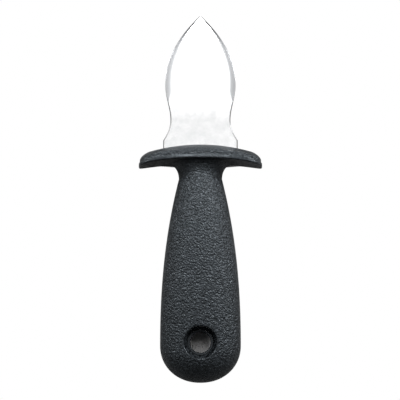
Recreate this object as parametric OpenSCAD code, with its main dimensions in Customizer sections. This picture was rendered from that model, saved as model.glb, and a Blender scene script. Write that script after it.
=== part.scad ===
// Oyster knife: a leaf-shaped steel blade whose tang is moulded into a plastic handle with a hand guard.
// The knife lies flat with its tip towards +Y. Z = 0 is the surface that it lies on.

/* [Blade] */
// Length of blade that shows, from the crown of the guard to the tip
blade_l = 60; // [52:0.5:68]
// Width of the leaf at its widest
leaf_w = 32.2; // [29:0.1:36]
// Distance from the tip to the widest place
leaf_l = 32.5; // [26:0.1:36]
// Width of the waist between the leaf and the shoulders
waist_w = 27.4; // [22:0.1:28]
// Height of the waist above the crown of the guard
waist_h = 11.3; // [7:0.1:14]
// Width across the shoulders
shoulder_w = 34; // [30:0.1:38]
// Height at which the shoulders end above the crown of the guard
shoulder_h = 2; // [0.6:0.1:4]
// Thickness of the sheet that the blade is cut from
blade_t = 2.5; // [2:0.1:3]
// Thickness of the blade's flat at the very tip
tip_t = 1; // [0.8:0.1:1.6]
// Distance from the tip over which the blade thickens
taper_l = 26; // [18:0.5:34]
// Thickness left on the ground edge
edge_t = 0.5; // [0.3:0.1:0.8]
// Widest place of the ground bevel
bevel_w = 2.7; // [1.8:0.1:3.4]
// Length of the ground bevel from the tip
bevel_l = 45; // [38:0.5:46]
// Width of the small chamfer that is left on every other edge
edge_break = 0.25; // [0.15:0.05:0.4]

/* [Tang] */
// Depth of the shoulders inside the guard
root_depth = 5; // [3:0.1:6]
// Width of the tang
tang_w = 12; // [9:0.5:14]
// Length of the tang below the shoulders
tang_l = 62; // [50:1:68]
// Radius of the corner between the tang and the shoulders
tang_fillet = 1.5; // [0.8:0.1:1.8]
// Radius of the holes that the plastic flows through
lock_hole_r = 2.4; // [1.6:0.1:3]
// Distance between the two holes
lock_pitch = 27; // [20:1:32]
// Distance from the tang's end to the nearer hole
lock_end = 12; // [8:1:16]
// Gap between the steel and the plastic that shrank round it
fit_gap = 0.03; // [0.02:0.01:0.08]

/* [Grip] */
// Length from the butt to the crown of the guard
handle_l = 108; // [100:1:118]
// Width of the neck below the guard
neck_w = 19.7; // [17:0.1:23]
// Thickness of the neck
neck_t = 18.6; // [16:0.1:21]
// Distance from the crown of the guard to the neck
neck_drop = 15.8; // [13:0.1:18]
// Reach of the fillet from the neck out along the guard
fillet_w = 4; // [2.5:0.1:6]
// Width of the grip near the butt
grip_w = 36.5; // [30:0.1:40]
// Height of the grip's belly above the surface that the guard rests on
belly_lift = 0; // [0:0.1:1.5]
// Share of the grip's length, from the neck, at which the belly is thickest
belly_at = 0.72; // [0.6:0.01:0.85]
// Thickness lost between the belly and the round of the butt
butt_fall = 1.4; // [0.6:0.1:2.4]
// Length of the round end of the butt
butt_round = 16.8; // [13:0.1:22]
// Squareness of the grip's section, where 2 is an ellipse
grip_square = 2.35; // [2:0.05:2.8]

/* [Guard] */
// Width of the guard
guard_w = 56.2; // [48:0.1:62]
// Depth of the guard, across the flat of the blade
guard_d = 27; // [25:0.1:30]
// Squareness of the guard seen from the tip
guard_square = 3.4; // [2.6:0.1:4]
// Drop of the guard's crown from its middle to its ends
crown_drop = 4.8; // [3:0.1:6]
// Drop of the guard's crown from its middle to its near and far sides
crown_roll = 3; // [1.5:0.1:4]
// Distance from the crown down to the underside at the near and far sides
side_h = 7.4; // [6.4:0.1:8.4]
// Further drop of that underside towards the guard's ends
side_drop = 2.3; // [1:0.1:3.5]
// Extra depth of the underside along the parting plane
keel_h = 1.3; // [0.8:0.1:2.2]
// Height, above that underside, of the rim's widest place
rim_h = 2.1; // [1.8:0.1:3]
// Inset of the round shoulder above the rim, at the near and far sides
side_round = 3.6; // [2.6:0.1:4.4]
// Inset of that shoulder at the guard's ends
end_round = 5.2; // [3:0.1:6]
// Radius of the rim's lower edge
low_round = 1.3; // [0.6:0.1:1.6]
// Flare of the lip along the rim's lower edge
lip = 0.25; // [0.1:0.05:0.4]

/* [Hanging hole] */
// Distance from the butt to the middle of the hole
hole_from_butt = 18.2; // [15:0.1:24]
// Radius of the hole on the front side
front_r = 5.8; // [5.3:0.1:6.4]
// Radius of the hole on the back side
back_r = 4.7; // [3.5:0.1:5]
// Growth of the radius from the bore to each mouth
flare_w = 1.7; // [0.8:0.1:2]
// Depth of that flare at the middle of the grip
flare_depth = 2.6; // [1.6:0.1:4]
// Width of the cone that leads from the ledge into the narrow bore
throat_w = 0.6; // [0.3:0.1:0.9]

/* [Hidden] */

// Exponents of the curves, read off the knife's outline
leaf_power = 2.15;
shoulder_power = 1.95;
bevel_power = 0.6;
grip_power = 2.27;
belly_power = 2.1;
butt_power = 2.1;

// Counts of rings and sides in the two lofted skins
sides = 48;
leaf_steps = 26;
run_steps = 12;
butt_steps = 9;
grip_steps = 17;
fillet_steps = 6;
round_steps = 4;
dome_steps = 5;

// Where things lie
total_l = blade_l + handle_l;
tip_y = total_l / 2;
crown_y = tip_y - blade_l;
butt_y = -total_l / 2;
mid_z = guard_d / 2;
belly_t = guard_d - 2 * belly_lift;
neck_y = crown_y - neck_drop;
butt_round_y = butt_y + butt_round;
hole_y = butt_y + hole_from_butt;
root_y = crown_y - root_depth;
tang_end_y = root_y - tang_l;
steel = [0.86, 0.87, 0.88];
plastic = [0.11, 0.12, 0.13];
$fn = 96;

// Helpers
function lerp(a, b, t) = a + (b - a) * t;
function clamp01(t) = min(1, max(0, t));
function spread(from, to, steps) = [for (i = [0:steps]) lerp(from, to, i / steps)];
function signed_pow(v, p) = sign(v) * pow(abs(v), p);

// A superellipse ring: half-width a, half-thickness b, squareness n
function ring(a, b, n) = [
    for (i = [0:sides - 1])
        let (f = 360 * i / sides)
        [a * signed_pow(cos(f), 2 / n), b * signed_pow(sin(f), 2 / n)]
];

// Triangles that join rings of equal length, closed by a pole point before the first and after the last
function skin_faces(rings, count) =
    let (last = 1 + rings * count)
    concat(
        [for (j = [0:count - 1]) [0, 1 + (j + 1) % count, 1 + j]],
        [
            for (i = [0:rings - 2], j = [0:count - 1])
                let (p = 1 + i * count, q = p + count, k = (j + 1) % count)
                each [[p + j, p + k, q + k], [p + j, q + k, q + j]]
        ],
        [for (j = [0:count - 1]) [last, last - count + j, last - count + (j + 1) % count]]
    );

module skin(start, rings, end) {
    polyhedron(
        points = concat([start], [for (r = rings) each r], [end]),
        faces = skin_faces(len(rings), len(rings[0])),
        convexity = 8
    );
}

// Blade: every size is a function of t, the distance from the tip
waist_t = blade_l - waist_h;
shoulder_t = blade_l - shoulder_h;
root_t = blade_l + root_depth;
bevel_slope = (blade_t - edge_t) / 2 / bevel_w;
tip_half = edge_break + 0.1;

function leaf_half(t) = leaf_w / 2 * (1 - pow(1 - t / leaf_l, leaf_power));
function blade_half(t) =
    t < leaf_l ? max(tip_half, leaf_half(t)) :
    t < waist_t ? lerp(leaf_w, waist_w, (1 - cos(180 * (t - leaf_l) / (waist_t - leaf_l))) / 2) / 2 :
    t < shoulder_t ? lerp(waist_w, shoulder_w, pow((t - waist_t) / (shoulder_t - waist_t), shoulder_power)) / 2 :
    shoulder_w / 2;
function flat_half(t) = lerp(tip_t, blade_t, 1 - pow(1 - clamp01(t / taper_l), 2)) / 2;
function ground_w(t) = t < bevel_l ? bevel_w * pow(sin(180 * t / bevel_l), bevel_power) : 0;
function bevel_at(t) = min(max(edge_break, ground_w(t)), blade_half(t) - 0.1);
function edge_half(t) = max(edge_t / 2, flat_half(t) - bevel_at(t) * bevel_slope);

function blade_ring(t) =
    let (
        a = blade_half(t),
        c = a - bevel_at(t),
        e = edge_half(t),
        f = flat_half(t),
        y = tip_y - t
    )
    [for (p = [[a, e], [c, f], [-c, f], [-a, e], [-a, -e], [-c, -f], [c, -f], [a, -e]]) [p[0], y, mid_z + p[1]]];

// Distances from the root to the tip, closer together towards the tip
blade_stations = concat(
    [root_t],
    spread(shoulder_t, waist_t, run_steps),
    [for (i = [1:run_steps]) lerp(waist_t, leaf_l, i / run_steps)],
    [for (i = [1:leaf_steps]) leaf_l * pow(1 - i / leaf_steps, 1.3)]
);

// Tang plate, grown by gap on every side
module tang_plate(gap) {
    grown_w = tang_w + 2 * gap;
    fillet_r = tang_fillet - gap;
    translate([0, 0, mid_z - blade_t / 2 - gap]) linear_extrude(blade_t + 2 * gap) difference() {
        union() {
            // Straight part and round end
            translate([-grown_w / 2, tang_end_y + tang_w / 2]) square([grown_w, root_y + 1 - tang_end_y - tang_w / 2]);
            translate([0, tang_end_y + tang_w / 2]) circle(r = grown_w / 2);
            // Corners under the shoulders
            for (side = [-1, 1]) translate([side * grown_w / 2, root_y - gap]) difference() {
                translate([-fillet_r, -fillet_r]) square([2 * fillet_r, fillet_r + 1]);
                translate([side * fillet_r, -fillet_r]) circle(r = fillet_r);
            }
        }
        for (i = [0:1]) translate([0, tang_end_y + lock_end + i * lock_pitch]) circle(r = lock_hole_r - gap);
    }
}

// Steel blade and tang, one piece of sheet
module blade() {
    color(steel) union() {
        skin([0, tip_y - root_t, mid_z], [for (t = blade_stations) blade_ring(t)], [0, tip_y, mid_z]);
        tang_plate(0);
    }
}

// Handle skin: the surfaces of the guard as heights over a point (x, z) of its plan
half_w = guard_w / 2;
half_d = guard_d / 2;
function crown_at(x, z) = crown_y - crown_drop * pow(x / half_w, 2) - crown_roll * pow(z / half_d, 2);
function side_at(x) = crown_y - side_h - side_drop * pow(x / half_w, 2);
function under_at(x, z) = side_at(x) - keel_h * (1 - min(1, abs(z) / (half_d - low_round)));

// Half-thickness of the grip at share s of the way from the neck to the butt's round
belly_rise = (belly_t - neck_t) / 2;
function belly_half(s) =
    s < belly_at ? belly_t / 2 - belly_rise * pow(1 - s / belly_at, belly_power) :
    belly_t / 2 - butt_fall / 2 * pow((s - belly_at) / (1 - belly_at), 2);
function grip_half(s) = grip_w / 2 - (grip_w - neck_w) / 2 * pow(1 - s, grip_power);
function lifted(points, heights) = [for (i = [0:sides - 1]) [points[i][0], heights[i], mid_z + points[i][1]]];
function level(points, y) = lifted(points, [for (p = points) y]);

// Round end of the butt, from its pole to the grip
butt_rings = [
    for (i = [1:butt_steps])
        let (f = 90 * i / butt_steps, k = pow(sin(f), 2 / butt_power))
        level(
            ring(grip_half(1) * k, belly_half(1) * k, grip_square),
            butt_round_y - butt_round * pow(cos(f), 2 / butt_power)
        )
];
grip_rings = [
    for (i = [1:grip_steps])
        let (s = 1 - i / grip_steps)
        level(ring(grip_half(s), belly_half(s), lerp(2.1, grip_square, s)), lerp(neck_y, butt_round_y, s))
];

// Fillet from the neck out to the guard's underside
fillet_d = (half_d - low_round - neck_t / 2) * 0.6;
fillet_rings = [
    for (i = [1:fillet_steps])
        let (
            f = 90 * i / fillet_steps,
            points = ring(
                neck_w / 2 + fillet_w * (1 - cos(f)),
                neck_t / 2 + fillet_d * (1 - cos(f)),
                lerp(2.1, 2.5, i / fillet_steps)
            )
        )
        lifted(points, [for (p = points) lerp(neck_y, under_at(p[0], p[1]), sin(f))])
];

// Underside of the guard, out to the rim
inner_half = neck_w / 2 + fillet_w;
inner_deep = neck_t / 2 + fillet_d;
under_rings = [
    for (i = [1:round_steps])
        let (
            k = i / round_steps,
            points = ring(
                lerp(inner_half, half_w - low_round, k),
                lerp(inner_deep, half_d - low_round, k),
                lerp(2.5, guard_square, k)
            )
        )
        lifted(points, [for (p = points) under_at(p[0], p[1])])
];

// Rim of the guard: round lower edge with a lip, upright face and round shoulder
function rim_ring(end_inset, side_inset) = ring(half_w - end_inset, half_d - side_inset, guard_square);
low_rings = [
    for (i = [1:round_steps])
        let (f = 90 * i / round_steps, inset = low_round * (1 - sin(f)), points = rim_ring(inset, inset))
        lifted(points, [for (p = points) under_at(p[0], p[1]) + low_round * (1 - cos(f))])
];
face_points = rim_ring(lip, lip);
face_ring = lifted(face_points, [for (p = face_points) side_at(p[0]) + rim_h]);
top_rings = [
    for (i = [1:round_steps + 1])
        let (
            f = 90 * i / (round_steps + 1),
            points = rim_ring(lip + (end_round - lip) * (1 - cos(f)), lip + (side_round - lip) * (1 - cos(f)))
        )
        lifted(points, [for (p = points) lerp(side_at(p[0]) + rim_h, crown_at(p[0], p[1]), sin(f))])
];
dome_rings = [
    for (i = [1:dome_steps - 1])
        let (
            k = 1 - i / dome_steps,
            points = ring((half_w - end_round) * k, (half_d - side_round) * k, lerp(2, guard_square, k))
        )
        lifted(points, [for (p = points) crown_at(p[0], p[1])])
];

// Hanging hole: a bore from each side that meets the other at the middle, with a flared mouth
hole_share = (hole_y - butt_round_y) / (neck_y - butt_round_y);
surface_z = belly_half(clamp01(1 - hole_share));

module hanging_hole() {
    translate([0, hole_y, mid_z]) {
        // Wide bore from the middle to the front, narrow bore from the back
        cylinder(r = front_r, h = guard_d);
        translate([0, 0, -guard_d]) cylinder(r = back_r, h = guard_d + 1);
        // Cone that leads from the ledge into the narrow bore
        translate([0, 0, -2 * throat_w]) cylinder(r1 = back_r, r2 = back_r + throat_w, h = 2 * throat_w);
        // Flares, drawn to twice their depth so that they pass the rounded surface
        for (side = [0, 180]) rotate([side, 0, 0]) {
            mouth_r = side == 0 ? front_r : back_r;
            translate([0, 0, surface_z - flare_depth])
                cylinder(r1 = mouth_r, r2 = mouth_r + 2 * flare_w, h = 2 * flare_depth);
        }
    }
}

// Room for the blade's shoulders and tang
module blade_seat() {
    seat_w = shoulder_w + 2 * fit_gap;
    translate([-seat_w / 2, root_y - fit_gap, mid_z - blade_t / 2 - fit_gap])
        cube([seat_w, root_depth + crown_drop, blade_t + 2 * fit_gap]);
    tang_plate(fit_gap);
}

// Plastic handle with its guard, moulded in one piece round the tang
module handle() {
    color(plastic) difference() {
        skin(
            [0, butt_y, mid_z],
            concat(
                butt_rings, grip_rings, fillet_rings, under_rings, low_rings, [face_ring], top_rings, dome_rings
            ),
            [0, crown_y, mid_z]
        );
        blade_seat();
        hanging_hole();
    }
}

blade();
handle();
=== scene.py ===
"""Oyster knife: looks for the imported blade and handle.

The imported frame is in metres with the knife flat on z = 0 and its tip towards +Y. The knife's shapes are worked out
in millimetres in that same frame and turned into metres at the end. Floor, lamps, boards and nodes are in metres.
"""

import math

import bmesh
import bpy
import numpy as np
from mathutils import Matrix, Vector


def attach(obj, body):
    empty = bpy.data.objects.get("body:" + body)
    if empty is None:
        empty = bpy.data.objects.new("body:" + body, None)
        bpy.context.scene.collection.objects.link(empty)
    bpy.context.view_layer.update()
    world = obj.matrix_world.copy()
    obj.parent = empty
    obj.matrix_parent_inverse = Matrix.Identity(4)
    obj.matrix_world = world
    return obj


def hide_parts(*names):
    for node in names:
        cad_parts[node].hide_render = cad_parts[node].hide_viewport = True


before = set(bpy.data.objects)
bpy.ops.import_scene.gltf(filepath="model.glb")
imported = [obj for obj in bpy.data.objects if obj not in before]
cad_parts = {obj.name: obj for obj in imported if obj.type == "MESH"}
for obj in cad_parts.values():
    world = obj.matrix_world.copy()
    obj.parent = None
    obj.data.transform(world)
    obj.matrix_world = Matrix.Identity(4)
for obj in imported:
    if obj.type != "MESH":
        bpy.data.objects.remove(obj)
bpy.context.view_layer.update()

MM = 0.001

# Sizes in millimetres, the same as the solids'
BLADE_L, HANDLE_L = 60.0, 108.0
TOTAL_L = BLADE_L + HANDLE_L
TIP_Y = TOTAL_L / 2
CROWN_Y = TIP_Y - BLADE_L
BUTT_Y = -TOTAL_L / 2
GUARD_W, GUARD_D = 56.2, 27.0
MID_Z = GUARD_D / 2

LEAF_W, LEAF_L, WAIST_W, WAIST_H = 32.2, 32.5, 27.4, 11.3
SHOULDER_W, SHOULDER_H = 34.0, 2.0
BLADE_T, TIP_T, TAPER_L, EDGE_T = 2.5, 1.0, 26.0, 0.5
LEAF_CURVE, SHOULDER_CURVE = 2.15, 1.95
ROOT_DEPTH, TANG_W, TANG_L, TANG_FILLET = 5.0, 12.0, 62.0, 1.5
LOCK_R, LOCK_PITCH, LOCK_END = 2.4, 27.0, 12.0
FIT_GAP = 0.03

NECK_W, NECK_T, NECK_DROP = 19.7, 18.6, 15.8
GRIP_W, BELLY_AT, BUTT_FALL, BUTT_ROUND = 36.5, 0.72, 1.4, 16.8
BELLY_CURVE, GRIP_CURVE = 2.1, 2.27
NECK_SQUARE, GRIP_SQUARE, BUTT_SQUARE, GUARD_SQUARE = 2.1, 2.35, 2.1, 3.4
CROWN_DROP, CROWN_ROLL = 4.8, 3.0
SIDE_H, SIDE_DROP, KEEL_H, END_ROUND = 7.4, 2.3, 1.3, 5.2
HOLE_Y = BUTT_Y + 18.2
FRONT_R, BACK_R = 5.8, 4.7

# Sizes that only the looks have, or that are finer here: finish and edges, then neck, guard and hanging hole
GROUND_L = 43.0
BEVEL_SLOPE, BEVEL_CURVE = 0.31, 1.7
BEVEL_TIP_W, BEVEL_GROWTH, BEVEL_FULL_AT, BEVEL_FADE = 0.6, 2.2, 33.0, (34.0, 42.5)
EDGE_ROUND, WAIST_ROUND, ROUND_CHANGE = 0.12, 0.55, (30.0, 44.0)
NECK_DIP, FILLET_W, FILLET_SHARE, FILLET_SQUARE = 1.28, 4.6, 0.6, 2.5
SIDE_ROUND, SIDE_FACE, END_FACE, LOW_ROUND = 2.7, 3.7, 2.0, 0.7
LIP, LIP_H, LIP_EDGE = 0.45, 1.4, 0.15
FLARE_W, FLARE_DEPTH, RIM_ROUND = 2.0, 3.8, 0.55
LEDGE_R, LEDGE_ROUND, LEDGE_RISE = 4.74, 0.2, 0.09

NECK_Y = CROWN_Y - NECK_DROP
BUTT_ROUND_Y = BUTT_Y + BUTT_ROUND
ROOT_Y = CROWN_Y - ROOT_DEPTH
TANG_END_Y = ROOT_Y - TANG_L
HALF_W, HALF_D = GUARD_W / 2, GUARD_D / 2


def lerp(a, b, t):
    return a + (b - a) * t


def smooth(lo, hi, v):
    """0 up to lo, 1 from hi on, and an S-curve between them."""
    t = np.clip((v - lo) / (hi - lo), 0, 1)
    return t * t * (3 - 2 * t)


def quarter_turn(steps):
    """Angles in even steps up to a right angle, without 0."""
    return [math.pi / 2 * i / steps for i in range(1, steps + 1)]


# ---- meshes ----


def mesh_object(name, points, faces):
    """A mesh object whose faces point outwards."""
    mesh = bpy.data.meshes.new(name)
    mesh.from_pydata([tuple(p) for p in points], [], [tuple(f) for f in faces])
    mesh.validate()
    made = bpy.data.objects.new(name, mesh)
    bpy.context.scene.collection.objects.link(made)
    fix_normals(mesh)
    return made


def fix_normals(mesh):
    bm = bmesh.new()
    bm.from_mesh(mesh)
    bmesh.ops.recalc_face_normals(bm, faces=bm.faces)
    bm.to_mesh(mesh)
    bm.free()


def skin(name, start, rings, end):
    """A closed skin over rings of equal length, with a pole at each end."""
    count = len(rings[0])
    points = [start] + [p for r in rings for p in r] + [end]
    last = len(points) - 1
    faces = [(0, 1 + (j + 1) % count, 1 + j) for j in range(count)]
    for i in range(len(rings) - 1):
        p, q = 1 + i * count, 1 + (i + 1) * count
        faces += [(p + j, p + (j + 1) % count, q + (j + 1) % count, q + j) for j in range(count)]
    faces += [(last, last - count + j, last - count + (j + 1) % count) for j in range(count)]
    return mesh_object(name, points, faces)


def apply_all(obj):
    """Replaces the object's mesh by what its modifiers make of it."""
    graph = bpy.context.evaluated_depsgraph_get()
    made = bpy.data.meshes.new_from_object(obj.evaluated_get(graph))
    old = obj.data
    obj.modifiers.clear()
    obj.data = made
    bpy.data.meshes.remove(old)


def boolean(obj, tool, how):
    """Joins or cuts obj with tool, and deletes tool."""
    mod = obj.modifiers.new("cut", "BOOLEAN")
    mod.operation, mod.solver, mod.object = how, "EXACT", tool
    apply_all(obj)
    bpy.data.objects.remove(tool)


def box(name, lo, hi):
    points = [(x, y, z) for x in (lo[0], hi[0]) for y in (lo[1], hi[1]) for z in (lo[2], hi[2])]
    faces = [(0, 1, 3, 2), (4, 6, 7, 5), (0, 4, 5, 1), (2, 3, 7, 6), (0, 2, 6, 4), (1, 5, 7, 3)]
    return mesh_object(name, points, faces)


def to_metres(obj):
    co = np.empty(len(obj.data.vertices) * 3)
    obj.data.vertices.foreach_get("co", co)
    obj.data.vertices.foreach_set("co", co * MM)
    obj.data.update()


# ---- handle ----

SIDES = 160
ROUND = np.linspace(0, 2 * math.pi, 4001)


def superellipse(a, b, n):
    """SIDES points at even distances round a superellipse."""
    c, s = np.cos(ROUND), np.sin(ROUND)
    x = a * np.sign(c) * np.abs(c) ** (2 / n)
    y = b * np.sign(s) * np.abs(s) ** (2 / n)
    run = np.concatenate([[0], np.cumsum(np.hypot(np.diff(x), np.diff(y)))])
    at = np.linspace(0, run[-1], SIDES, endpoint=False)
    return np.interp(at, run, x), np.interp(at, run, y)


def crown_at(x, z):
    """Y of the guard's crown, which is arched both ways."""
    return CROWN_Y - CROWN_DROP * (x / HALF_W) ** 2 - CROWN_ROLL * (z / HALF_D) ** 2


def side_at(x):
    """Y of the guard's lower edge, bowed across the knife."""
    return CROWN_Y - SIDE_H - SIDE_DROP * (x / HALF_W) ** 2


def under_at(x, z):
    """Y of the guard's underside, which has a low keel along its middle."""
    return side_at(x) - KEEL_H * (1 - np.minimum(1, np.abs(z) / (HALF_D - LOW_ROUND)))


def belly_half(s):
    """Half depth of the grip at s, from 0 at the neck to 1 where the butt starts to round."""
    if s < BELLY_AT:
        return HALF_D - (HALF_D - NECK_T / 2) * (1 - s / BELLY_AT) ** BELLY_CURVE
    return HALF_D - BUTT_FALL / 2 * ((s - BELLY_AT) / (1 - BELLY_AT)) ** 2


def grip_half(s):
    """Half width of the grip at s, as above."""
    return GRIP_W / 2 - (GRIP_W - NECK_W) / 2 * (1 - s) ** GRIP_CURVE


def handle_rings():
    """Rings of the handle from the butt to the middle of the crown."""
    rings = []

    def add(x, z, y):
        y = np.broadcast_to(y, x.shape)
        rings.append(np.stack([x, y, MID_Z + z], 1))

    # The round butt, then the grip up to the neck
    for f in quarter_turn(24):
        k = math.sin(f) ** (2 / BUTT_SQUARE)
        x, z = superellipse(grip_half(1) * k, belly_half(1) * k, GRIP_SQUARE)
        add(x, z, BUTT_ROUND_Y - BUTT_ROUND * math.cos(f) ** (2 / BUTT_SQUARE))
    steps = 110
    for i in range(1, steps + 1):
        s = 1 - i / steps
        x, z = superellipse(grip_half(s), belly_half(s), lerp(NECK_SQUARE, GRIP_SQUARE, s))
        add(x, z, lerp(NECK_Y, BUTT_ROUND_Y, s))
    # Front and back go on thinning a little before they turn out to the guard
    fillet_d = (HALF_D - LOW_ROUND - NECK_T / 2) * FILLET_SHARE
    for f in quarter_turn(24):
        out = 1 - math.cos(f)
        deep = NECK_T / 2 - NECK_DIP * math.sin(f) + (fillet_d + NECK_DIP) * out
        x, z = superellipse(NECK_W / 2 + FILLET_W * out, deep, lerp(NECK_SQUARE, FILLET_SQUARE, f / (math.pi / 2)))
        add(x, z, lerp(NECK_Y, under_at(x, z), math.sin(f)))
    # The guard's underside, its rounded lower edge and the lip above that
    steps = 14
    for i in range(1, steps + 1):
        k = i / steps
        wide = lerp(NECK_W / 2 + FILLET_W, HALF_W - LOW_ROUND, k)
        deep = lerp(NECK_T / 2 + fillet_d, HALF_D - LOW_ROUND, k)
        x, z = superellipse(wide, deep, lerp(FILLET_SQUARE, GUARD_SQUARE, k))
        add(x, z, under_at(x, z))
    for f in quarter_turn(8):
        inset = LOW_ROUND * (1 - math.sin(f))
        x, z = superellipse(HALF_W - inset, HALF_D - inset, GUARD_SQUARE)
        add(x, z, under_at(x, z) + LOW_ROUND * (1 - math.cos(f)))
    for k in (0.08, 0.5, 0.92, 1.0):
        x, z = superellipse(HALF_W - LIP * k, HALF_D - LIP * k, GUARD_SQUARE)
        add(x, z, side_at(x) + lerp(LOW_ROUND, LIP_H, k) + (LIP_EDGE if k == 1 else 0))
    # Its side face, lower at the ends, the round over it, and the crown
    face = lerp(SIDE_FACE, END_FACE, smooth(0.6, 1.0, np.abs(x) / HALF_W))
    for k in (0.5, 1.0):
        add(x, z, side_at(x) + lerp(LIP_H + LIP_EDGE, face, k))
    for f in quarter_turn(16):
        out = 1 - math.cos(f)
        wide = HALF_W - LIP - (END_ROUND - LIP) * out
        deep = HALF_D - LIP - (SIDE_ROUND - LIP) * out
        x, z = superellipse(wide, deep, GUARD_SQUARE)
        add(x, z, lerp(side_at(x) + face, crown_at(x, z), math.sin(f)))
    steps = 16
    for i in range(1, steps):
        k = 1 - i / steps
        x, z = superellipse((HALF_W - END_ROUND) * k, (HALF_D - SIDE_ROUND) * k, lerp(2, GUARD_SQUARE, k))
        add(x, z, crown_at(x, z))
    return rings


def section_at(y):
    """Half width, half depth and squareness of the grip at y."""
    if y > BUTT_ROUND_Y:
        t = (NECK_Y - y) / (NECK_Y - BUTT_ROUND_Y)
        return grip_half(t), belly_half(t), lerp(NECK_SQUARE, GRIP_SQUARE, t)
    k = (1 - min(1, (BUTT_ROUND_Y - y) / BUTT_ROUND) ** BUTT_SQUARE) ** (1 / BUTT_SQUARE)
    return grip_half(1) * k, belly_half(1) * k, GRIP_SQUARE


def skin_height(x, y):
    """How far the grip's skin lies above its middle plane."""
    a, b, n = section_at(y)
    return b * (1 - min(1, abs(x) / a) ** n) ** (1 / n)


def hole_tool():
    """The cutter for the hanging hole. Its rims follow the grip's skin and roll into it."""
    top = skin_height(0, HOLE_Y)
    beyond = 2.0

    def mouth(r, sign):
        # Radius, height and how far the ring follows the skin, from outside the skin down to the bore
        rim_r = r + FLARE_W - RIM_ROUND
        yield rim_r + RIM_ROUND * (1 - math.cos(math.pi / 2 * 1.12)), sign * (top + RIM_ROUND * 0.06), 1.0
        for k in (1.0, 0.85, 0.7, 0.55, 0.4, 0.25, 0.1, 0.0):
            f = math.pi / 2 * k
            yield rim_r + RIM_ROUND * (1 - math.cos(f)), sign * (top - RIM_ROUND * (1 - math.sin(f))), 1.0
        steps = 6
        for i in range(1, steps + 1):
            k = i / steps
            yield lerp(rim_r, r, k), sign * (top - lerp(RIM_ROUND, FLARE_DEPTH, k ** 0.8)), 1 - k

    front, back = list(mouth(FRONT_R, 1)), list(mouth(BACK_R, -1))
    rings = [(back[0][0] + 0.5, -top - beyond, 1.0)] + back
    rings += [(BACK_R, -0.9, 0), (LEDGE_R - 0.02, -0.6, 0)]
    # The ledge has a rounded inner edge and leans inwards, which gives the hole its bright ring
    for f in np.linspace(0, math.pi / 2, 7):
        rings.append((LEDGE_R + LEDGE_ROUND * (1 - math.cos(f)), LEDGE_ROUND * (math.sin(f) - 1), 0))
    rings += [(FRONT_R - LEDGE_ROUND, LEDGE_RISE, 0), (FRONT_R, 1.0, 0)]
    rings += front[::-1] + [(front[0][0] + 0.5, top + beyond, 1.0)]
    angles = np.linspace(0, 2 * math.pi, 144, endpoint=False)
    made = []
    for r, z, follow in rings:
        ring = []
        for t in angles:
            x, y = r * math.cos(t), HOLE_Y + r * math.sin(t)
            sag = (skin_height(x, y) - top) * follow
            ring.append((x, y, MID_Z + z + (sag if z > 0 else -sag)))
        made.append(ring)
    return skin("hole_tool", (0, HOLE_Y, MID_Z - top - beyond), made, (0, HOLE_Y, MID_Z + top + beyond))


def plate(name, gap):
    """The tang's plate, grown by gap, with the two lock holes shrunk by it."""
    half = TANG_W / 2 + gap
    fillet = TANG_FILLET - gap
    end_y = TANG_END_Y + TANG_W / 2
    outline = [(half * math.cos(t), end_y + half * math.sin(t)) for t in np.linspace(math.pi, 2 * math.pi, 33)]
    shoulder = ROOT_Y - gap
    right = [
        (half + fillet - fillet * math.cos(t), shoulder - fillet + fillet * math.sin(t))
        for t in np.linspace(0, math.pi / 2, 9)
    ]
    top = [(right[-1][0], ROOT_Y + 1), (-right[-1][0], ROOT_Y + 1)]
    outline += right + top + [(-x, y) for x, y in reversed(right)]
    rings = [outline]
    for i in range(2):
        y = TANG_END_Y + LOCK_END + i * LOCK_PITCH
        r = LOCK_R - gap
        turn = np.linspace(0, 2 * math.pi, 48, endpoint=False)
        rings.append([(r * math.cos(t), y + r * math.sin(t)) for t in turn])
    curve = bpy.data.curves.new(name, "CURVE")
    curve.dimensions, curve.fill_mode, curve.extrude = "2D", "BOTH", BLADE_T / 2 + gap
    for ring in rings:
        line = curve.splines.new("POLY")
        line.points.add(len(ring) - 1)
        for point, (x, y) in zip(line.points, ring):
            point.co = (x, y, 0, 1)
        line.use_cyclic_u = True
    source = bpy.data.objects.new(name, curve)
    bpy.context.scene.collection.objects.link(source)
    graph = bpy.context.evaluated_depsgraph_get()
    mesh = bpy.data.meshes.new_from_object(source.evaluated_get(graph))
    bpy.data.objects.remove(source)
    bm = bmesh.new()
    bm.from_mesh(mesh)
    bmesh.ops.remove_doubles(bm, verts=bm.verts, dist=0.001)
    bmesh.ops.translate(bm, verts=bm.verts, vec=(0, 0, MID_Z))
    bmesh.ops.recalc_face_normals(bm, faces=bm.faces)
    bm.to_mesh(mesh)
    bm.free()
    made = bpy.data.objects.new(name, mesh)
    bpy.context.scene.collection.objects.link(made)
    return made


def make_handle():
    """The moulding, cut by the hanging hole and by the seat for shoulders and tang."""
    obj = skin("handle_shell", (0, BUTT_Y, MID_Z), handle_rings(), (0, CROWN_Y, MID_Z))
    boolean(obj, hole_tool(), "DIFFERENCE")
    seat_w = SHOULDER_W / 2 + FIT_GAP
    seat = box(
        "seat",
        (-seat_w, ROOT_Y - FIT_GAP, MID_Z - BLADE_T / 2 - FIT_GAP),
        (seat_w, CROWN_Y + 2, MID_Z + BLADE_T / 2 + FIT_GAP),
    )
    boolean(seat, plate("tang_room", FIT_GAP), "UNION")
    boolean(obj, seat, "DIFFERENCE")
    to_metres(obj)
    return obj


# ---- blade ----

WAIST_T = BLADE_L - WAIST_H
SHOULDER_T = BLADE_L - SHOULDER_H
ROOT_T = BLADE_L + ROOT_DEPTH


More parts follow.
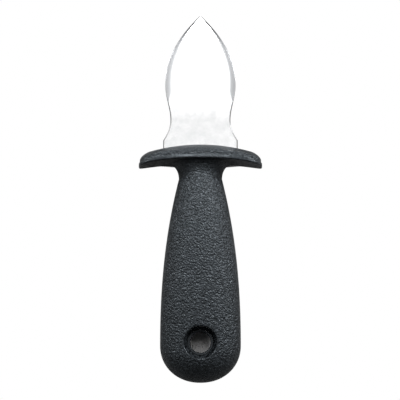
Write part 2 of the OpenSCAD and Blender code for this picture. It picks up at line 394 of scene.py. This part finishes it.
def blade_half(t):
    """Half width of the blade t millimetres below its tip."""
    if t < LEAF_L:
        return max(0.3, LEAF_W / 2 * (1 - (1 - t / LEAF_L) ** LEAF_CURVE))
    if t < WAIST_T:
        return lerp(LEAF_W, WAIST_W, (1 - math.cos(math.pi * (t - LEAF_L) / (WAIST_T - LEAF_L))) / 2) / 2
    if t < SHOULDER_T:
        return lerp(WAIST_W, SHOULDER_W, ((t - WAIST_T) / (SHOULDER_T - WAIST_T)) ** SHOULDER_CURVE) / 2
    return SHOULDER_W / 2


def flat_half(t):
    """Half thickness of the blade between its bevels."""
    return lerp(TIP_T, BLADE_T, 1 - (1 - min(1, t / TAPER_L)) ** 2) / 2


def bevel_width(t):
    grown = BEVEL_TIP_W + BEVEL_GROWTH * math.sqrt(min(t, BEVEL_FULL_AT) / BEVEL_FULL_AT)
    return grown * (1 - float(smooth(*BEVEL_FADE, t)))


def blade_ring(t):
    a = blade_half(t)
    f = flat_half(t)
    r = min(lerp(EDGE_ROUND, WAIST_ROUND, float(smooth(*ROUND_CHANGE, t))), a * 0.5, f - EDGE_T / 2)
    # Near the tip the bevel is no wider than its slope leaves steel for
    room = max(f - EDGE_T / 2 - r * 0.4, 0.02)
    bevel = max(min(bevel_width(t), a - 0.1, r + room / BEVEL_SLOPE), r + 0.05)
    drop = (bevel - r) * BEVEL_SLOPE if bevel > r + 0.06 else 0.0
    # Front right quarter, from the flat out over the bevel, which steepens towards the edge, and round the edge
    inner = a - bevel
    quarter = [(max(inner - 0.15, inner * 0.9), f)]
    for k in (0.0, 0.25, 0.5, 0.75):
        quarter.append((lerp(inner, a - r, k), f - drop * k ** BEVEL_CURVE))
    start = math.atan(BEVEL_CURVE * drop / (bevel - r))
    for k in (0.0, 0.3, 0.6, 0.85, 1.0):
        g = lerp(start, math.pi / 2, k)
        across = (1 - math.sin(g)) / (1 - math.sin(start))
        quarter.append((a - r * across, f - drop - r * 0.8 * (math.cos(start) - math.cos(g))))
    section = quarter + [(x, -z) for x, z in reversed(quarter)]
    section += [(-x, -z) for x, z in quarter] + [(-x, z) for x, z in reversed(quarter)]
    return [(x, TIP_Y - t, MID_Z + z) for x, z in section]


def make_blade():
    """Leaf, waist and shoulders, joined to the tang's plate."""
    stations = [ROOT_T, SHOULDER_T + 0.01]
    stations += list(np.linspace(SHOULDER_T, WAIST_T, 40))
    stations += list(np.linspace(WAIST_T, LEAF_L, 60))[1:]
    stations += [LEAF_L * (1 - i / 110) ** 1.3 for i in range(1, 110)]
    rings = [blade_ring(t) for t in stations + [0.0]]
    obj = skin("blade_steel", (0, TIP_Y - ROOT_T, MID_Z), rings, (0, TIP_Y, MID_Z))
    boolean(obj, plate("tang", 0), "UNION")
    obj.data.shade_smooth()
    obj.data.set_sharp_from_angle(angle=math.radians(9))
    to_metres(obj)
    return obj


# ---- materials ----

# The floor's albedo beside the knife is a dark grey, a painted shade for bounced light and reflections
WORLD_FILL, PAINTED_SHADE_FLOOR_ALBEDO, SHADE_ALBEDO = 0.05, 0.3, 0.85


def material(name):
    mat = bpy.data.materials.new(name)
    mat.use_nodes = True
    tree = mat.node_tree
    return mat, tree, tree.nodes["Principled BSDF"]


def feed(tree, socket, part):
    """Links part to an input, or sets the input to it where part is a plain value."""
    if isinstance(part, bpy.types.NodeSocket):
        tree.links.new(part, socket)
    else:
        socket.default_value = part


def add(tree, kind, **values):
    """A node with its attributes set and its inputs fed."""
    node = tree.nodes.new(kind)
    for key, value in values.items():
        if hasattr(node, key):
            setattr(node, key, value)
        else:
            feed(tree, node.inputs[key.replace("_", " ")], value)
    return node


def calc(tree, operation, *parts, kind="ShaderNodeMath", output="Value"):
    """What a maths node makes of its parts."""
    node = add(tree, kind, operation=operation)
    for socket, part in zip(node.inputs, parts):
        feed(tree, socket, part)
    return node.outputs[output]


def calc_vector(tree, operation, *parts):
    return calc(tree, operation, *parts, kind="ShaderNodeVectorMath", output="Vector")


def length(tree, vector):
    return calc(tree, "LENGTH", vector, kind="ShaderNodeVectorMath")


def ranged(tree, value, lo, hi, start=0.0, end=1.0, **more):
    """The value between lo and hi, moved to between start and end."""
    node = add(tree, "ShaderNodeMapRange", Value=value, From_Min=lo, From_Max=hi, To_Min=start, To_Max=end, **more)
    return node.outputs["Result"]


def ramp(tree, factor, first, *between, last):
    """A colour ramp. Each stop is a position and a colour."""
    node = add(tree, "ShaderNodeValToRGB", Fac=factor)
    stops = node.color_ramp.elements
    for stop, (position, colour) in zip(stops, (first, last)):
        stop.position, stop.color = position, (*colour, 1)
    for position, colour in between:
        stops.new(position).color = (*colour, 1)
    return node.outputs["Color"]


def curved(tree, value, points):
    """A curve's value, straight from point to point."""
    node = add(tree, "ShaderNodeFloatCurve", Value=value)
    curve = node.mapping.curves[0]
    while len(curve.points) < len(points):
        curve.points.new(0.5, 0.5)
    for point, at in zip(curve.points, points):
        point.location, point.handle_type = at, "VECTOR"
    node.mapping.update()
    return node.outputs["Value"]


def mixed(tree, factor, a, b, blend="MIX"):
    """A mix of two colours."""
    node = add(tree, "ShaderNodeMix", data_type="RGBA", blend_type=blend)
    sockets = {s.identifier: s for s in [*node.inputs, *node.outputs]}
    for key, part in (("Factor_Float", factor), ("A_Color", a), ("B_Color", b)):
        feed(tree, sockets[key], part)
    return sockets["Result_Color"]


def place(tree):
    """The object coordinates, as a vector and as X, Y and Z."""
    where = add(tree, "ShaderNodeTexCoord").outputs["Object"]
    return where, add(tree, "ShaderNodeSeparateXYZ", Vector=where).outputs


def plastic_material():
    """Black polypropylene with a spark-eroded grain of a bit under a millimetre."""
    mat, tree, shader = material("grained_plastic")
    where, axes = place(tree)
    shader.inputs["Specular IOR Level"].default_value = 0.38
    shader.inputs["Specular Tint"].default_value = (0.82, 0.92, 1.0, 1)
    shader.inputs["IOR"].default_value = 1.49

    grain = add(tree, "ShaderNodeTexNoise", Vector=where, Scale=1050.0, Detail=1.0, Roughness=0.5).outputs["Fac"]
    pits = add(tree, "ShaderNodeTexVoronoi", Vector=where, Scale=1300.0).outputs
    height = calc(tree, "MULTIPLY_ADD", pits["Distance"], -0.7, grain)
    # The guard's grain is finer than the grip's
    guard = ranged(tree, axes["Y"], (CROWN_Y - 13) * MM, (CROWN_Y - 8) * MM, 1.0, 0.8)
    # The hole comes from a polished pin
    mouth_r = FRONT_R + FLARE_W
    from_hole = calc_vector(tree, "MULTIPLY_ADD", where, (1.0, 1.0, 0.0), (0.0, -HOLE_Y * MM, 0.0))
    skin_part = ranged(tree, length(tree, from_hole), (mouth_r - 0.2) * MM, (mouth_r + 0.5) * MM)
    # Hands have rubbed the guard's lip smooth, along the bow of its lower edge
    bow = calc(tree, "MULTIPLY", axes["X"], axes["X"])
    above = calc(tree, "MULTIPLY_ADD", bow, SIDE_DROP / (HALF_W * HALF_W * MM), axes["Y"])
    lip_at = ranged(tree, above, (CROWN_Y - SIDE_H) * MM, (CROWN_Y - SIDE_H + 3) * MM)
    lip = curved(tree, lip_at, ((0.0, 1.0), (0.2, 0.25), (0.5, 0.25), (0.62, 1.0), (1.0, 1.0)))
    depth = calc(tree, "MULTIPLY", calc(tree, "MULTIPLY", guard, skin_part), lip)
    bump = add(tree, "ShaderNodeBump", Distance=0.0004, Height=height, Strength=depth)
    feed(tree, shader.inputs["Normal"], bump.outputs["Normal"])

    # Each grain cell has a tone at random, and the grain is painted lighter on its tops and darker in its hollows, a
    # painted highlight and painted shade
    cell = add(tree, "ShaderNodeSeparateXYZ", Vector=pits["Color"]).outputs["X"]
    shade = calc(tree, "MULTIPLY_ADD", cell, 0.5, grain)
    tint = ramp(tree, shade, (0.55, (0.0025, 0.003, 0.0035)), last=(1.0, (0.025, 0.029, 0.033)))
    feed(tree, shader.inputs["Base Color"], tint)
    rough = ranged(tree, shade, 0.5, 1.0, 0.42, 0.3)
    rough = ranged(tree, skin_part, 0.0, 1.0, 0.2, rough)
    # The crown behind the blade is the mattest part
    rough = ranged(tree, axes["Y"], (CROWN_Y - 4.5) * MM, (CROWN_Y - 3.0) * MM, rough, 0.7)
    feed(tree, shader.inputs["Roughness"], rough)
    return mat


def steel_material():
    """Satin steel: the leaf is ground, and the rolled waist below it is duller and a little cloudy."""
    mat, tree, shader = material("satin_steel")
    where, axes = place(tree)
    shader.inputs["Metallic"].default_value = 1.0
    cloud = add(tree, "ShaderNodeTexNoise", Vector=where, Scale=260.0, Detail=4.0, Roughness=0.65).outputs["Fac"]
    # The border between the two finishes wanders by a few millimetres
    border = calc(tree, "MULTIPLY_ADD", cloud, 0.006, axes["Y"])
    ground_y = (TIP_Y - GROUND_L) * MM
    ground = ranged(tree, border, ground_y - 0.003, ground_y + 0.007, interpolation_type="SMOOTHSTEP")
    dull = ramp(tree, cloud, (0.32, (0.61, 0.615, 0.62)), last=(0.66, (0.7, 0.702, 0.705)))
    # Grinding marks run across the leaf
    marks_at = calc_vector(tree, "MULTIPLY", where, (60.0, 3200.0, 60.0))
    marks = add(tree, "ShaderNodeTexNoise", Vector=marks_at, Scale=1.0, Detail=2.0).outputs["Fac"]
    bright = ramp(tree, marks, (0.35, (0.85, 0.86, 0.87)), last=(0.65, (0.9, 0.905, 0.91)))
    finish = mixed(tree, ground, dull, bright)
    # Painted shade by tilt: the bevels are painted a shade greyer than the flats, and the sheet's dull sheared edge
    # is painted dark
    normal = add(tree, "ShaderNodeTexCoord").outputs["Normal"]
    flatness = calc(tree, "ABSOLUTE", add(tree, "ShaderNodeSeparateXYZ", Vector=normal).outputs["Z"])
    bevel_painted_greys = ((0.82, 0.3), (0.9, 0.6), (0.95, 0.78), (0.985, 0.92))
    between = [(at, (grey * 0.98, grey * 0.99, grey * 1.01)) for at, grey in bevel_painted_greys]
    leaf_painted_shade = ramp(tree, flatness, (0.45, (0.2, 0.21, 0.22)), *between, last=(1.0, (1, 1, 1)))
    # On the waist the painted shade is darker and starts at a smaller tilt
    waist_painted_shade = ranged(tree, flatness, 0.9, 0.985, 0.12)
    bevel_edge_painted_shade = mixed(tree, ground, waist_painted_shade, leaf_painted_shade)
    feed(tree, shader.inputs["Base Color"], mixed(tree, 1.0, finish, bevel_edge_painted_shade, "MULTIPLY"))
    rough = ranged(tree, ground, 0.0, 1.0, 0.18, 0.15)
    feed(tree, shader.inputs["Roughness"], ranged(tree, flatness, 0.5, 0.85, 0.45, rough))
    bump = add(tree, "ShaderNodeBump", Strength=0.25, Distance=0.00002, Height=marks)
    feed(tree, shader.inputs["Normal"], bump.outputs["Normal"])
    return mat


def floor_material():
    """White paper. It shows pure white, apart from its real shade right under the knife; beside the knife it is a
    painted dark grey shade to bounced light and reflections.
    """
    mat, tree, shader = material("white_paper")
    shader.inputs["Roughness"].default_value = 0.9
    shader.inputs["Specular IOR Level"].default_value = 0.0
    rays = add(tree, "ShaderNodeLightPath").outputs
    where, axes = place(tree)
    # The footprint's half width along Y, as a curve from butt to tip
    outline = [(BUTT_Y, 0.0), (BUTT_Y + 2, 8.0), (BUTT_Y + 8, 14.5), (BUTT_Y + 17, 17.8)]
    outline += [(y, section_at(y)[0]) for y in (-55, -40, -25, -10, NECK_Y)]
    outline += [(NECK_Y + 5, 10.5), (CROWN_Y - 9, 12.0), (CROWN_Y - 8, 26.0), (CROWN_Y - 3, 20.0), (CROWN_Y, 16.0)]
    outline += [(TIP_Y - t, blade_half(t)) for t in (50, 40, 30, 20, 10, 0)]
    widest = 30.0
    along = ranged(tree, axes["Y"], BUTT_Y * MM, TIP_Y * MM)
    width = curved(tree, along, [((y - BUTT_Y) / TOTAL_L, half / widest) for y, half in outline])
    # How far a point lies inside the footprint, in metres
    outward = calc(tree, "MULTIPLY", calc(tree, "ABSOLUTE", axes["X"]), -1.0)
    inside = calc(tree, "MULTIPLY_ADD", width, widest * MM, outward)
    clear = ranged(tree, inside, 0.0015, 0.005, 1.0, 0.0)
    # Under the knife the paper is pale; beyond it the paper is a painted dark grey shade to bounced light and nearby
    # reflections
    feed(tree, shader.inputs["Base Color"], ranged(tree, clear, 0.0, 1.0, SHADE_ALBEDO, PAINTED_SHADE_FLOOR_ALBEDO))
    seen = calc(tree, "MAXIMUM", rays["Is Camera Ray"], rays["Is Transmission Ray"])
    shown = calc(tree, "MULTIPLY", seen, clear)
    # In reflections the paper near the knife shows its painted dark grey shade with the knife's real shadow, and
    # whitens further away
    away = length(tree, calc_vector(tree, "MULTIPLY", where, (1.0, 0.5, 1.0)))
    mirrored = calc(tree, "MULTIPLY", rays["Is Glossy Ray"], ranged(tree, away, 0.15, 0.5))
    mix = add(tree, "ShaderNodeMixShader", Fac=calc(tree, "MAXIMUM", shown, mirrored))
    feed(tree, mix.inputs[1], shader.outputs["BSDF"])
    feed(tree, mix.inputs[2], add(tree, "ShaderNodeEmission", Strength=1.0).outputs["Emission"])
    feed(tree, tree.nodes["Material Output"].inputs["Surface"], mix.outputs["Shader"])
    return mat


# ---- pieces ----

handle = make_handle()
handle.data.materials.clear()
handle.data.materials.append(plastic_material())
handle.data.shade_smooth()
handle.data.set_sharp_from_angle(angle=math.radians(50))
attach(handle, "root")
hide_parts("handle")

blade = make_blade()
blade.data.materials.clear()
blade.data.materials.append(steel_material())
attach(blade, "root")
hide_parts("blade")

floor = mesh_object("floor", [(-3, -3, 0), (3, -3, 0), (3, 3, 0), (-3, 3, 0)], [(0, 1, 2, 3)])
floor.data.materials.append(floor_material())

# ---- light ----


def from_zenith(lean, heading):
    """A direction lean degrees off the vertical, towards heading degrees anticlockwise from +X."""
    a, h = math.radians(lean), math.radians(heading)
    return Vector((math.sin(a) * math.cos(h), math.sin(a) * math.sin(h), math.cos(a)))


def lamp(name, lean, heading, away, size, radiance):
    """A soft rectangular lamp, aimed at the knife's middle. radiance is how bright its face is, where 1 is white."""
    data = bpy.data.lights.new(name, "AREA")
    data.shape, data.size, data.size_y = "RECTANGLE", size[0], size[1]
    data.energy = radiance * math.pi * size[0] * size[1]
    made = bpy.data.objects.new(name, data)
    bpy.context.scene.collection.objects.link(made)
    out = from_zenith(lean, heading)
    made.location = Vector((0, 0, MID_Z * MM)) + out * away
    made.rotation_mode = "QUATERNION"
    made.rotation_quaternion = out.to_track_quat("Z", "Y")


# Name, degrees off the vertical, heading, metres away, size and radiance
LAMPS = (
    ("top", 13, 90, 1.0, (0.22, 0.22), 10.5),
    ("key", 46, 90, 0.31, (0.12, 0.1), 25.0),
    ("low_right", 70, 28, 0.9, (0.3, 0.3), 25.0),
    ("low_left", 70, 150, 0.9, (0.3, 0.3), 15.0),
)
for row in LAMPS:
    lamp(*row)


def card(name, corners, glow, shade=0.0):
    """A board beside the knife that only its reflections show, as bright as glow says.

    The corners run along one long edge and back along the other.
    """
    half = len(corners) // 2
    faces = [(i, i + 1, 2 * half - 2 - i, 2 * half - 1 - i) for i in range(half - 1)]
    made = mesh_object(name, corners, faces)
    mat, _, shader = material(name)
    shader.inputs["Base Color"].default_value = (shade, shade, shade, 1)
    shader.inputs["Roughness"].default_value = 1.0
    shader.inputs["Specular IOR Level"].default_value = 0.0
    shader.inputs["Emission Color"].default_value = (1, 1, 1, 1)
    shader.inputs["Emission Strength"].default_value = glow
    made.data.materials.append(mat)
    made.visible_camera = made.visible_shadow = made.visible_diffuse = False


def strip(away, low, high, headings):
    """Corners of a board bent round the knife between two angles off the vertical."""
    rim = [tuple(away * from_zenith(low, h)) for h in headings]
    return rim + [tuple(away * from_zenith(high, h)) for h in reversed(headings)]


card("front_flag", [(-0.8, -0.35, 0), (0.8, -0.35, 0), (0.8, -0.2, 0.8), (-0.8, -0.2, 0.8)], 0.09, 0.02)
card("bevel_left", strip(0.7, 22, 62, range(105, 226, 10)), 0.9)
card("bevel_right", strip(0.7, 22, 62, range(75, -46, -10)), 0.76)
card("overhead", [(-0.3, -0.05, 0.9), (0.3, -0.05, 0.9), (0.3, 0.45, 0.9), (-0.3, 0.45, 0.9)], 1.12)
card("low_surround", strip(1.3, 62, 92, range(-60, 241, 10)), 0.12)


def studio_world():
    """White to the camera, mirrors and glass, and only a faint light on the knife."""
    world = bpy.data.worlds.new("studio")
    world.use_nodes = True
    tree = world.node_tree
    back = tree.nodes["Background"]
    back.inputs["Color"].default_value = (1, 1, 1, 1)
    rays = add(tree, "ShaderNodeLightPath").outputs
    seen = calc(tree, "MAXIMUM", rays["Is Camera Ray"], rays["Is Transmission Ray"])
    shown = calc(tree, "MAXIMUM", seen, rays["Is Glossy Ray"])
    feed(tree, back.inputs["Strength"], ranged(tree, shown, 0.0, 1.0, WORLD_FILL, 1.0))
    return world


bpy.context.scene.world = studio_world()

# ---- camera ----

# Millimetres per pixel at the knife's middle plane, and the picture's width in pixels
PX, ACROSS = 0.4538, 400
# How far the camera is above that plane and behind the point that it looks at, and that point
CAMERA_H, CAMERA_BACK, AIM_X, AIM_Y = 700.0, 142 * PX, -0.2, -1.22
camera_data = bpy.data.cameras.new("camera")
camera_data.sensor_width = 36
camera_data.lens = 36 / ACROSS * CAMERA_H / PX
camera_data.clip_start, camera_data.clip_end = 0.01, 10
camera = bpy.data.objects.new("camera", camera_data)
bpy.context.scene.collection.objects.link(camera)
camera.location = Vector((AIM_X, AIM_Y - CAMERA_BACK, MID_Z + CAMERA_H)) * MM
camera.rotation_mode = "QUATERNION"
camera.rotation_quaternion = (camera.location - Vector((AIM_X, AIM_Y, MID_Z)) * MM).to_track_quat("Z", "Y")
bpy.context.scene.camera = camera

bpy.context.scene.view_settings.view_transform = "Standard"
